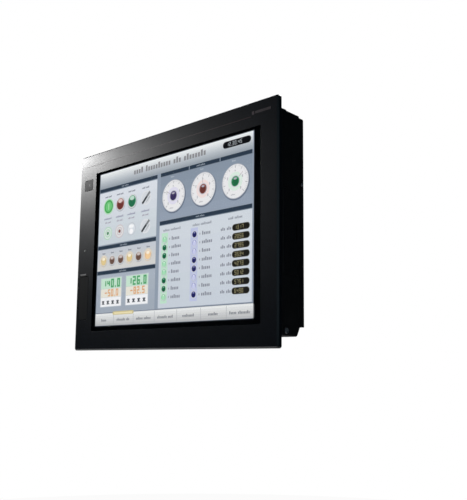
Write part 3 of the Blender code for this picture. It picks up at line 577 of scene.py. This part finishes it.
def draw_title():
    """The title, the clock, and the row of tabs at the bottom."""
    title = Picture("display_title")
    title.words(210, 16, 22, (4, 10, 3, 8), (138, 138, 142))
    title.pill(662, 14, 784, 37, (14, 15, 18))
    title.number(680, 18, 14, "12.30.45", (150, 156, 160), 3)
    for number, lengths in enumerate(TABS):
        left = TAB * number
        wide = TAB_TALL * (BLOCK_PITCH * sum(lengths) + WORD_GAP * (len(lengths) - 1))
        title.rect(left + TAB, 553, left + TAB + 1.5, 595, (160, 164, 170), 2)
        title.words(left + TAB / 2 - wide / 2, 571, TAB_TALL, lengths, (124, 128, 134))
    title.pill(108, 545, 230, 558, (206, 192, 142), 3)
    title.rect(116, 549, 222, 555, (236, 224, 180), 4)
    return title.done()


def lever(picture, x, y):
    """A round plate with a slanting handle, dark at its lower end."""
    picture.disc(x, y, 27, (226, 228, 232), 2)
    picture.disc(x, y, 23, (214, 218, 224), 3)
    picture.bar(x + 2, y + 16, x + 22, y - 4, 5, (182, 186, 190), 4)
    picture.bar(x - 20, y + 19, x + 21, y - 20, 10, (126, 130, 134), 4)
    picture.bar(x - 20, y + 19, x + 4, y - 4, 8, (62, 66, 72), 5)


def draw_switches():
    """Two rows of round switches and lamps, upper left."""
    switches = Picture("display_switches")
    columns, upper, lower = (63, 134, 203, 282), 138, 243
    first, second, third, fourth = columns
    switches.disc(first, upper, 31, (178, 224, 186), 2)
    switches.disc(first, upper, 26, (70, 164, 88), 3)
    switches.disc(first, upper, 20, (112, 200, 124), 4)
    switches.rect(first - 3, upper - 12, first + 3, upper + 12, (166, 222, 168), 5)
    switches.lamp(second, upper, 26, (148, 88, 84), (112, 54, 50), (222, 198, 196))
    switches.lamp(third, upper, 26, (78, 152, 118), (38, 112, 78), (190, 220, 204))
    lever(switches, fourth, upper)
    rings = (
        (first, (166, 214, 178), (92, 148, 110)),
        (second, (206, 186, 192), (132, 78, 74)),
    )
    for x, ring, core in rings:
        discs = ((25, ring), (22, PALE), (16, ring), (12, PALE), (7, core))
        for layer, (radius, colour) in enumerate(discs, 2):
            switches.disc(x, lower, radius, colour, layer)
    switches.disc(third, lower, 24, (186, 190, 200), 2)
    switches.disc(third, lower, 21.5, (218, 224, 230), 3)
    switches.disc(third, lower - 10, 14, (246, 248, 250), 4, 0.5)
    switches.disc(third, lower + 9, 10, (250, 250, 252), 4)
    lever(switches, fourth, lower)
    for x in columns:
        switches.words(x - 22, 95, 7, (4, 4), INK)
        switches.words(x - 24, 181, 8, (9,), (140, 142, 168))
        switches.words(x - 18, 197, 7, (3, 4), (156, 148, 168))
    return switches.done()


def draw_lamps():
    """A row of six lamps, yellow and orange ones lit."""
    lamps = Picture("display_lamps")
    looks = {
        "yellow": ((212, 184, 122), (226, 202, 146), (250, 240, 216)),
        "brown": ((144, 118, 110), (106, 80, 70), (204, 192, 188)),
        "orange": ((230, 182, 124), (242, 206, 158), (250, 238, 218)),
    }
    row = ("yellow", "brown", "brown", "yellow", "brown", "orange")
    for number, kind in enumerate(row):
        x = 43 + 51.5 * number
        if kind != "brown":
            lamps.disc(x, 350, 23, (228, 212, 184), 2)
        lamps.lamp(x, 350, 19, *looks[kind])
        lamps.words(x - 8, 317, 6, (5,), INK)
    return lamps.done()


def draw_readouts():
    """Two fields of large figures, with four blocks under each."""
    readouts = Picture("display_readouts")
    for left, upper, lower in ((33, "140.0", "-50.0"), (183, "126.0", "-82.5")):
        right = left + 122
        readouts.rect(left - 3, 415, right + 3, 527, (190, 198, 206), 2)
        readouts.rect(left, 418, right, 457, (198, 228, 208), 3)
        readouts.rect(left, 458, right, 490, (232, 228, 216), 3)
        readouts.rect(left, 491, right, 525, (242, 243, 246), 3)
        readouts.number(left + 14, 421, 33, upper, (84, 166, 110), 4, 0.2)
        readouts.number(left + 24, 460, 27, lower, (222, 168, 122), 4, 0.18)
        for number in range(4):
            x = left + 16 + 29 * number
            readouts.rect(x - 8, 503, x + 7, 508, (96, 100, 106), 4)
            readouts.rect(x - 5, 508, x + 4, 513, (58, 62, 68), 4)
            readouts.rect(x - 8, 513, x + 8, 517, (112, 116, 122), 4)
    return readouts.done()


def draw_gauges():
    """Three round dials with a tinted middle, a pointer and a domed hub."""
    gauges = Picture("display_gauges")
    kinds = (
        ((84, 72, 118), (58, 48, 90), (222, 220, 236)),
        ((142, 88, 80), (104, 56, 52), (238, 222, 220)),
        ((56, 144, 98), (34, 106, 68), (218, 234, 224)),
    )
    for number, (hub, dark, tint) in enumerate(kinds):
        x, y = 428 + 145 * number, 154
        gauges.disc(x + 2, y + 3, 60, (104, 116, 134), 2, 1.0, 48)
        gauges.disc(x, y, 58, (176, 180, 190), 3, 1.0, 48)
        gauges.disc(x, y, 55.5, (234, 234, 236), 4, 1.0, 48)
        gauges.disc(x, y, 31, tint, 5, 1.0, 32)
        for tick in range(DIAL_TICKS + 1):
            turn = math.radians(-225 + 270 * tick / DIAL_TICKS)
            inner, width = (44, 1.9) if tick % 5 == 0 else (49, 0.9)
            near = (x + inner * math.cos(turn), y + inner * math.sin(turn))
            far = (x + 53 * math.cos(turn), y + 53 * math.sin(turn))
            gauges.bar(*near, *far, width, (150, 152, 158), 5)
            if tick % 10 == 0:
                place = (x + 35 * math.cos(turn) - 3.5, y + 35 * math.sin(turn) - 4)
                gauges.number(*place, 8, str(tick // 10 * 2), (150, 152, 160), 6)
        point = math.radians(POINTERS[number])
        tip = (x + 42 * math.cos(point), y + 42 * math.sin(point))
        gauges.bar(x, y, *tip, 2.6, (190, 184, 188), 6)
        gauges.disc(x, y, 20, (206, 206, 214), 7)
        gauges.disc(x, y, 17, hub, 8)
        gauges.disc(x, y + 2, 13, dark, 9)
        gauges.disc(x, y - 9, 7, (176, 172, 186), 10, 0.5)
        gauges.words(x - 18, y + 40, 5, (6,), (176, 178, 184), 5)
        gauges.words(x - 14, 82, 5, (5,), (180, 190, 202), 3)
    return gauges.done()


def draw_list():
    """Eight rows of two lamps, their labels and a readout, lower right."""
    rows = Picture("display_list")
    for x, lengths in ((380, (6, 9)), (527, (6, 9)), (690, (4, 6))):
        rows.words(x, 268, 9, lengths, (140, 146, 158))
    green_on = ((120, 200, 148), (166, 224, 184), (226, 244, 232))
    green_off = ((52, 130, 94), (24, 96, 64), (120, 180, 150))
    blue_on = ((138, 146, 206), (200, 204, 234), (232, 234, 246))
    blue_off = ((62, 64, 126), (38, 40, 94), (136, 140, 186))
    for number in range(8):
        y = 305 + 29 * number
        rows.lamp(388, y, 12.5, *(green_on if number in (0, 3, 4, 7) else green_off), 0.3)
        rows.lamp(536, y, 12.5, *(blue_on if number in (1, 2, 5, 6) else blue_off), 0.3)
        for x in (412, 560):
            rows.words(x, y - 5, 9, (1,), (150, 154, 164))
            rows.words(x + 12, y - 7, 13, (5 + number % 2,), INK_LIGHT)
        rows.words(657, y - 6.5, 11, (3, 3), INK_LIGHT)
        rows.pill(706, y - 11, 781, y + 11, (92, 92, 86), 2)
        rows.pill(708, y - 9.5, 779, y + 9.5, (30, 29, 26), 3)
        count = 1000 + (number * 739 + 317) % 9000
        rows.number(718, y - 7, 14, str(count), (128, 122, 92), 4)
    return rows.done()


BORDER_INSET = 0.0005
BORDER_PLAY = 0.0008
BORDER_DEPTH = (0.00004, 0.00010)


def display():
    """The cell behind the picture, and the printed border round it on the back of the film."""
    paint("lcd_glass", BLACK)
    refined("lcd_frame", 0.0, TINNED)
    drawings = (
        draw_ground,
        draw_title,
        draw_switches,
        draw_lamps,
        draw_readouts,
        draw_gauges,
        draw_list,
    )
    for draw in drawings:
        draw()
    x, y, z = spans("touch_panel")
    x, z = grow(x, -BORDER_INSET), grow(z, -BORDER_INSET)
    back = (y[1] + BORDER_DEPTH[0], y[1] + BORDER_DEPTH[1])
    hole_x = about(PICTURE_CENTRE[0], ACTIVE[0] + BORDER_PLAY)
    hole_z = about(PICTURE_CENTRE[1], ACTIVE[1] + BORDER_PLAY)
    sides = [
        ((x[0], hole_x[0]), back, z),
        ((hole_x[1], x[1]), back, z),
        (hole_x, back, (z[0], hole_z[0])),
        (hole_x, back, (hole_z[1], z[1])),
    ]
    boxes("film_border", sides, BORDER)
    refined("touch_panel", SMALL_ROUND, FILM)


# The front.


LINE_BELOW_TOP = 0.0150
MARK_ABOVE_LINE = 0.0033


def front():
    """The bezel with what is set in it and printed on it, and a painted highlight and a painted
    shadow bar at the top of the USB cover.
    """
    bezel_x, bezel_y, bezel_z = spans("front_bezel")
    face = bezel_y[0]
    refined("front_bezel", BEZEL_ROUND, BEZEL_LOOK)
    refined("panel_gasket", PART_ROUND, RUBBER)
    refined("usb_cover", BEZEL_ROUND, COVER_RUBBER)
    refined("sensor_lens", SMALL_ROUND, SMOKED)
    refined("power_led", FINE_ROUND, LAMP)

    line_z = bezel_z[1] - LINE_BELOW_TOP
    mark_z = line_z + MARK_ABOVE_LINE
    skin = print_layer(face)
    raised = (face + 0.00003, face + 0.0002)
    lens_x, lens_y, lens_z = spans("sensor_lens")
    eye_x, eye_z = about(middle(lens_x) + 0.0012, 0.0030), about(middle(lens_z), 0.0030)
    usb_x = (-0.1510, -0.1390)
    # Prints on the bezel and lens, and two bars of painted light at the top of the USB cover.
    prints_and_painted_light = (
        ("thin_line", (bezel_x[0] + 0.004, 0.1240), skin, about(line_z, 0.0008), LINE_PRINT),
        ("plain_mark", (0.1290, 0.1490), raised, about(mark_z, 0.0026), MARK_PRINT),
        ("plain_symbol", (0.1252, 0.1280), raised, about(mark_z, 0.0036), SYMBOL_PRINT),
        # Painted highlight: a grey bar where the top edge of the USB cover catches light.
        ("usb_painted_highlight", usb_x, skin, (-0.0298, -0.0281), PAINTED_LIP_HIGHLIGHT),
        # Painted shadow: a near-black bar for the shade in the gap under the painted highlight.
        ("usb_painted_shadow", usb_x, skin, (-0.0310, -0.0301), PAINTED_GAP_SHADOW),
        ("sensor_eye", eye_x, print_layer(lens_y[0]), eye_z, SMOKED_EYE),
    )
    for name, x, y, z, look in prints_and_painted_light:
        boxes(name, [(x, y, z)], look)


def case():
    """The outside behind the bezel: shells, covers, screws, buttons and label."""
    for name in ("middle_case", "rear_cover"):
        refined(name, SHELL_ROUND, CASE_LOOK)
    for name in ("card_cover", "battery_cover", "extension_cover_1", "extension_cover_2"):
        refined(name, PART_ROUND, COVER_LOOK)
    for number in range(1, 5):
        refined(f"rear_screw_{number}", SMALL_ROUND, STEEL)
        refined(f"side_screw_{number}", FINE_ROUND, STEEL)
    for name in ("reset_button", "mode_button", "battery_holder", "card_eject_button"):
        refined(name, PART_ROUND, GREY)
    refined("rating_label", 0.0, LABEL)
    label_prints()


def label_prints():
    """Plain blocks where a rating label has its table, and its border line."""
    x, y, z = spans("rating_label")
    ink = print_layer(y[1])
    places = []
    for column in range(4):
        left = x[1] - 0.006 - 0.017 * column
        for row in range(5):
            high = z[1] - 0.0045 - 0.0031 * row
            wide = 0.0085 + 0.0014 * ((3 * column + 2 * row) % 4)
            places.append(((left - wide, left), ink, about(high, 0.0011)))
    boxes("label_lines", places, LABEL_INK)
    thin, inset = 0.0002, 0.0012
    outer_x, outer_z = grow(x, -inset), grow(z, -inset)
    rim = [
        (outer_x, ink, (outer_z[0], outer_z[0] + thin)),
        (outer_x, ink, (outer_z[1] - thin, outer_z[1])),
        ((outer_x[0], outer_x[0] + thin), ink, grow(outer_z, -thin)),
        ((outer_x[1] - thin, outer_x[1]), ink, grow(outer_z, -thin)),
    ]
    boxes("label_border", rim, LABEL_INK)


BOARDS = ("main_board", "power_board", "inverter_board", "usb_board", "interface_board")
BLACK_PARTS = (
    "buzzer",
    "card_slot",
    "extension_connector_1",
    "extension_connector_2",
    "access_switch_body",
    "termination_switch_body",
)
WHITE_PARTS = ("card_access_switch", "termination_switch", "backlight_housing")
SOCKETS = (
    "usb_host_port",
    "usb_device_port",
    "ethernet_jack",
    "rs232_connector",
    "rs422_connector",
)
STEEL_PARTS = ("terminal_screw_1", "terminal_screw_2", "terminal_screw_3", "presence_sensor")


def inside():
    """Boards, sockets, switches and what else is behind the covers."""
    for name in BOARDS:
        refined(name, FINE_ROUND, BOARD, 1)
    refined("cpu_heatsink", SMALL_ROUND, ALUMINIUM, 1)
    refined("lcd_bracket", FINE_ROUND, STEEL, 1)
    for name in BLACK_PARTS:
        refined(name, PART_ROUND, BLACK)
    refined("terminal_block", PART_ROUND, TERMINAL_GREY)
    for name in WHITE_PARTS:
        refined(name, SMALL_ROUND, WHITE)
    for name in SOCKETS:
        refined(name, METAL_ROUND, TINNED)
    for name in STEEL_PARTS:
        refined(name, METAL_ROUND, STEEL)
    refined("battery", BATTERY_ROUND, BATTERY_FILM)
    refined("card_access_led", FINE_ROUND, GREEN_LENS)
    refined("terminal_cover", METAL_ROUND, CLEAR)
    paint("light_guide", CLEAR)
    for name in ("backlight_lamp_top", "backlight_lamp_bottom"):
        paint(name, WHITE)
    jack_contacts()


def jack_contacts():
    """Eight sprung wires in the network jack, in a row along its front wall."""
    x, y, z = spans("ethernet_jack")
    deep, tall = (y[1] - 0.0032, y[1] - 0.0028), (z[0] + 0.0012, z[0] + 0.0062)
    wires = []
    for number in range(8):
        across = middle(x) + 0.00102 * (number - 3.5)
        wires.append((about(across, 0.0004), deep, tall))
    boxes("jack_contacts", wires, GOLD)


# Studio: floor, lights and camera.


FLOOR_Z = -1.2
FLOOR_RADIUS = 5.0
FLOOR_GLOW = 0.965
SKY_COLOUR = (0.45, 0.75, 1.0, 1)
SKY_STRENGTH = 0.02
CAMERA_PLACE = (0.5359, -0.4867, -0.1353)
CAMERA_YAW = math.radians(42.02)
CAMERA_PITCH = math.radians(7.56)
CAMERA_ROLL = math.radians(0.53)
CAMERA_LENS = 48.18
CAMERA_SENSOR = 36
CAMERA_SHIFT = 0.05


def area(name, place, size, power, colour=(1, 1, 1)):
    """A soft rectangular light that is turned to the origin."""
    light = bpy.data.lights.new(name, "AREA")
    light.shape = "RECTANGLE"
    light.size, light.size_y = size
    light.energy = power
    light.color = colour
    made = bpy.data.objects.new(name, light)
    made.location = place
    made.rotation_euler = (-Vector(place)).to_track_quat("-Z", "Y").to_euler()
    bpy.context.scene.collection.objects.link(made)
    made.visible_camera = False


def floor_disc():
    """A plain floor that is pale to the camera and matt to the lights."""
    bm = bmesh.new()
    bmesh.ops.create_circle(bm, cap_ends=True, segments=96, radius=FLOOR_RADIUS)
    bmesh.ops.translate(bm, vec=(0, 0, FLOOR_Z), verts=bm.verts)
    floor = placed("floor", bm)
    look = Look("floor_paper", (0.80, 0.80, 0.80), 0.9).vary(3, 0.02)
    glow = look.add("ShaderNodeEmission", Strength=FLOOR_GLOW)
    seen = look.add("ShaderNodeLightPath")
    mix = look.add("ShaderNodeMixShader")
    look.link(seen.outputs["Is Camera Ray"], mix, 0)
    look.link(look.shader.outputs["BSDF"], mix, 1)
    look.link(glow.outputs["Emission"], mix, 2)
    look.link(mix.outputs["Shader"], look.tree.nodes["Material Output"], "Surface")
    floor.data.materials.append(look.material)


def sky():
    """White to the camera, and a weak blue light to everything else."""
    world = bpy.data.worlds.new("studio")
    bpy.context.scene.world = world
    world.use_nodes = True
    tree = world.node_tree
    backdrop = tree.nodes["Background"]
    backdrop.inputs["Color"].default_value = (1, 1, 1, 1)
    backdrop.inputs["Strength"].default_value = 1.0
    soft = tree.nodes.new("ShaderNodeBackground")
    soft.inputs["Color"].default_value = SKY_COLOUR
    soft.inputs["Strength"].default_value = SKY_STRENGTH
    seen = tree.nodes.new("ShaderNodeLightPath")
    mix = tree.nodes.new("ShaderNodeMixShader")
    tree.links.new(seen.outputs["Is Camera Ray"], mix.inputs[0])
    tree.links.new(soft.outputs[0], mix.inputs[1])
    tree.links.new(backdrop.outputs[0], mix.inputs[2])
    tree.links.new(mix.outputs[0], tree.nodes["World Output"].inputs["Surface"])


def studio():
    """The floor, the sky and three lights, of which the strip draws the bezel's bright top."""
    floor_disc()
    sky()
    area("strip_light", (-2.262, -0.612, 0.872), (1.18, 0.10), 54)
    area("rear_light", (-0.8, 1.3, 0.7), (1.0, 1.0), 45)
    area("right_fill", (1.6, -1.0, 0.35), (0.9, 0.9), 0.9, (0.6, 0.85, 1.0))


def camera():
    """A view from the right of the screen and a little below it."""
    data = bpy.data.cameras.new("camera")
    data.lens = CAMERA_LENS
    data.sensor_width = CAMERA_SENSOR
    data.shift_y = CAMERA_SHIFT
    made = bpy.data.objects.new("camera", data)
    made.location = CAMERA_PLACE
    level = math.cos(CAMERA_PITCH)
    forward = Vector(
        (-math.sin(CAMERA_YAW) * level, math.cos(CAMERA_YAW) * level, math.sin(CAMERA_PITCH))
    )
    look = forward.to_track_quat("-Z", "Y")
    made.rotation_euler = (look @ Quaternion((0, 0, 1), CAMERA_ROLL)).to_euler()
    bpy.context.scene.collection.objects.link(made)
    bpy.context.scene.camera = made
    bpy.context.scene.view_settings.view_transform = "Standard"


camera()
studio()
display()
front()
case()
inside()
